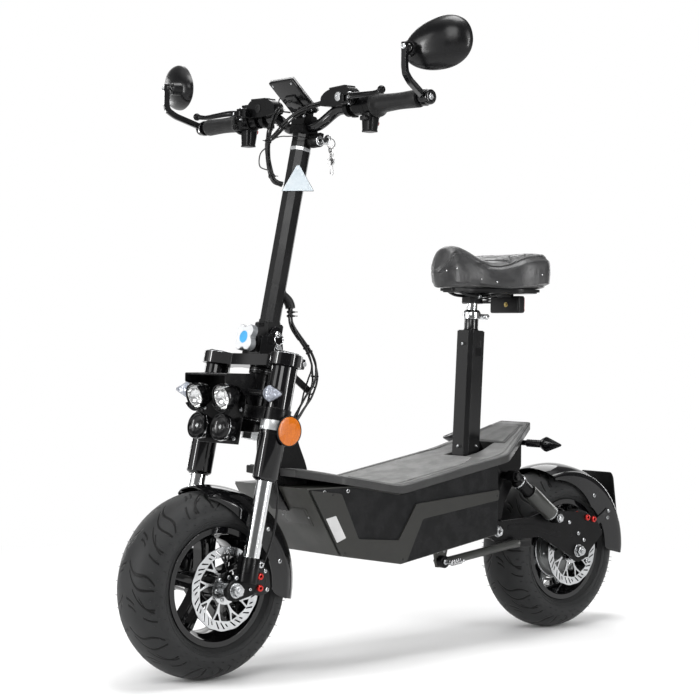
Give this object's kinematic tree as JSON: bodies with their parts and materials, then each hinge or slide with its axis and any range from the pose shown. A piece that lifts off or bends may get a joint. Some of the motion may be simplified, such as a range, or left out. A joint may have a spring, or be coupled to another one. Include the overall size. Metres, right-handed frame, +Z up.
{
  "type": "seated electric scooter",
  "caption": "Seated electric scooter with wide tyres, suspension fork, folding stem, padded saddle on a post, disc brakes, mirrors and a rear swing arm.",
  "frame": {"origin": "middle of the bounding box on the ground", "axes": "+Z up, -Y the way it drives, +X the rider's left"},
  "size_m": [0.925, 1.3858, 1.2455],
  "materials": {
    "satin_frame": "satin dark grey-green powder coat",
    "gloss_black": "gloss black paint",
    "cover_black": "fine-textured black trim",
    "deck_plastic": "moulded dark board",
    "deck_mat": "textured grey tread",
    "chrome": "polished",
    "steel": "brushed",
    "motor_alloy": "satin cast",
    "tyre_rubber": "treaded",
    "grip_rubber": "moulded",
    "black_plastic": "satin",
    "lamp_body": "bright reflector with clear lens",
    "mirror_shell": "satin shell",
    "knob_white": "white",
    "red_plastic": "red",
    "seat_leather": "quilted black",
    "cable": "satin sleeve",
    "battery_wrap": "wrap",
    "spring_steel": "plated",
    "caliper_black": "anodised"
  },
  "bodies": {
    "frame": {"frame_tub": "satin_frame", "side_cover_left": "cover_black", "side_cover_right": "cover_black", "neck": "satin_frame", "footboard": "deck_plastic", "grip_mat": "deck_mat", "battery_pack": "battery_wrap", "motor_controller": "motor_alloy", "seat_mast": "satin_frame", "seat_clamp": "motor_alloy", "rear_indicators": "black_plastic", "pivot_axle": "steel", "neck_loom": "cable"},
    "steering": {"fork_crown": "gloss_black", "upper_crown": "gloss_black", "lamp_bracket": "black_plastic", "headlamps": "lamp_body"},
    "fork_lower": {"fork_leg_left": "chrome", "fork_leg_right": "chrome", "front_axle": "steel", "front_caliper": "caliper_black", "front_mudguard": "gloss_black", "front_brake_hose": "cable"},
    "front_wheel": {"front_tyre": "tyre_rubber", "front_rim": "gloss_black", "front_disc": "steel"},
    "stem": {"stem": "gloss_black", "bar_clamp": "gloss_black", "handlebar": "gloss_black", "grip_left": "grip_rubber", "perch_left": "black_plastic", "perch_right": "black_plastic", "display": "black_plastic", "bar_loom": "cable"},
    "star_knob": {"star_knob": "knob_white"},
    "pull_pin": {"pull_pin": "steel"},
    "throttle_grip": {"throttle_grip": "grip_rubber"},
    "brake_lever_left": {"brake_lever_left": "gloss_black"},
    "brake_lever_right": {"brake_lever_right": "gloss_black"},
    "mirror_left": {"mirror_left": "mirror_shell"},
    "mirror_right": {"mirror_right": "mirror_shell"},
    "ignition_key": {"ignition_key": "steel"},
    "horn_button": {"horn_button": "red_plastic"},
    "swingarm": {"swingarm": "gloss_black", "rear_axle": "steel", "rear_caliper": "caliper_black", "rear_mudguard": "gloss_black"},
    "rear_wheel": {"rear_tyre": "tyre_rubber", "rear_rim": "gloss_black", "hub_motor": "motor_alloy", "rear_disc": "steel"},
    "shock_uppers": {"shock_upper_left": "gloss_black", "shock_upper_right": "gloss_black"},
    "shock_lowers": {"shock_lower_left": "motor_alloy", "shock_lower_right": "motor_alloy"},
    "seat_post": {"seat_post": "chrome", "saddle_base": "gloss_black", "saddle": "seat_leather"},
    "kickstand": {"kickstand": "gloss_black", "stand_spring": "spring_steel"}
  },
  "joints": [
    {"name": "steering_turn", "type": "hinge", "parent": "frame", "child": "steering", "pos_m": [0, -0.40132, 0.46346], "axis": [0, 0.2113, 0.9774], "range_deg": [-35, 35], "deforming": ["neck_loom"]},
    {"name": "fork_travel", "type": "slide", "parent": "steering", "child": "fork_lower", "axis": [0, 0.2113, 0.9774], "range_m": [0, 0.03], "stiffness_N_per_m": 6000, "springref_m": -0.05, "deforming": ["front_brake_hose"]},
    {"name": "front_wheel_spin", "type": "hinge", "parent": "fork_lower", "child": "front_wheel", "pos_m": [0, -0.51295, 0.18], "axis": [1, 0, 0], "continuous": true},
    {"name": "stem_fold", "type": "hinge", "parent": "steering", "child": "stem", "pos_m": [0, -0.35488, 0.63093], "axis": [-1, 0, 0], "range_deg": [0, 36], "deforming": ["neck_loom"]},
    {"name": "star_knob_turn", "type": "hinge", "parent": "steering", "child": "star_knob", "pos_m": [0, -0.38962, 0.64867], "axis": [0, 0.9774, -0.2113], "continuous": true},
    {"name": "pull_pin_pull", "type": "slide", "parent": "steering", "child": "pull_pin", "axis": [1, 0, 0], "range_m": [0, 0.012], "stiffness_N_per_m": 400, "springref_m": -0.005},
    {"name": "throttle_turn", "type": "hinge", "parent": "stem", "child": "throttle_grip", "pos_m": [-0.206, -0.26203, 1.10332], "axis": [-1, 0, 0], "range_deg": [0, 70], "stiffness_Nm_per_rad": 0.3, "springref_deg": -22.92},
    {"name": "brake_lever_left_pull", "type": "hinge", "parent": "stem", "child": "brake_lever_left", "pos_m": [0.168, -0.29803, 1.11532], "axis": [0, 0, 1], "range_deg": [0, 14], "stiffness_Nm_per_rad": 1.5, "springref_deg": -11.46},
    {"name": "brake_lever_right_pull", "type": "hinge", "parent": "stem", "child": "brake_lever_right", "pos_m": [-0.168, -0.29803, 1.11532], "axis": [0, 0, -1], "range_deg": [0, 14], "stiffness_Nm_per_rad": 1.5, "springref_deg": -11.46},
    {"name": "mirror_left_turn", "type": "hinge", "parent": "stem", "child": "mirror_left", "pos_m": [0.36361, -0.32828, 1.18432], "axis": [0, 0, 1], "range_deg": [-20, 20]},
    {"name": "mirror_right_turn", "type": "hinge", "parent": "stem", "child": "mirror_right", "pos_m": [-0.36361, -0.32828, 1.18432], "axis": [0, 0, 1], "range_deg": [-20, 20]},
    {"name": "ignition_key_turn", "type": "hinge", "parent": "stem", "child": "ignition_key", "pos_m": [0.05, -0.26944, 1.04503], "axis": [1, 0, 0], "range_deg": [0, 90]},
    {"name": "horn_button_press", "type": "slide", "parent": "stem", "child": "horn_button", "axis": [0, -1, 0], "range_m": [0, 0.002], "stiffness_N_per_m": 800, "springref_m": -0.002},
    {"name": "swingarm_rise", "type": "hinge", "parent": "frame", "child": "swingarm", "pos_m": [0, 0.20865, 0.241], "axis": [1, 0, 0], "range_deg": [0, 12], "stiffness_Nm_per_rad": 600, "springref_deg": -8.59},
    {"name": "rear_wheel_spin", "type": "hinge", "parent": "swingarm", "child": "rear_wheel", "pos_m": [0, 0.47405, 0.18], "axis": [1, 0, 0], "continuous": true},
    {"name": "shock_upper_turn", "type": "hinge", "parent": "frame", "child": "shock_uppers", "pos_m": [0, 0.23765, 0.36], "axis": [1, 0, 0], "range_deg": [-1, 9.72]},
    {"name": "shock_lower_turn", "type": "hinge", "parent": "swingarm", "child": "shock_lowers", "pos_m": [0, 0.37665, 0.2615], "axis": [1, 0, 0], "range_deg": [-3.28, 1]},
    {"name": "seat_height", "type": "slide", "parent": "frame", "child": "seat_post", "axis": [0, 0.0506, 0.9987], "range_m": [0, 0.07]},
    {"name": "kickstand_swing", "type": "hinge", "parent": "frame", "child": "kickstand", "pos_m": [0.1, 0.03805, 0.19], "axis": [-1, 0, 0], "range_deg": [0, 45], "stiffness_Nm_per_rad": 1.5, "springref_deg": -28.65}
  ],
  "couplings": [
    {"joint": "shock_upper_turn", "follows": "swingarm_rise", "ratio": 0.768},
    {"joint": "shock_lower_turn", "follows": "swingarm_rise", "ratio": -0.232}
  ]
}
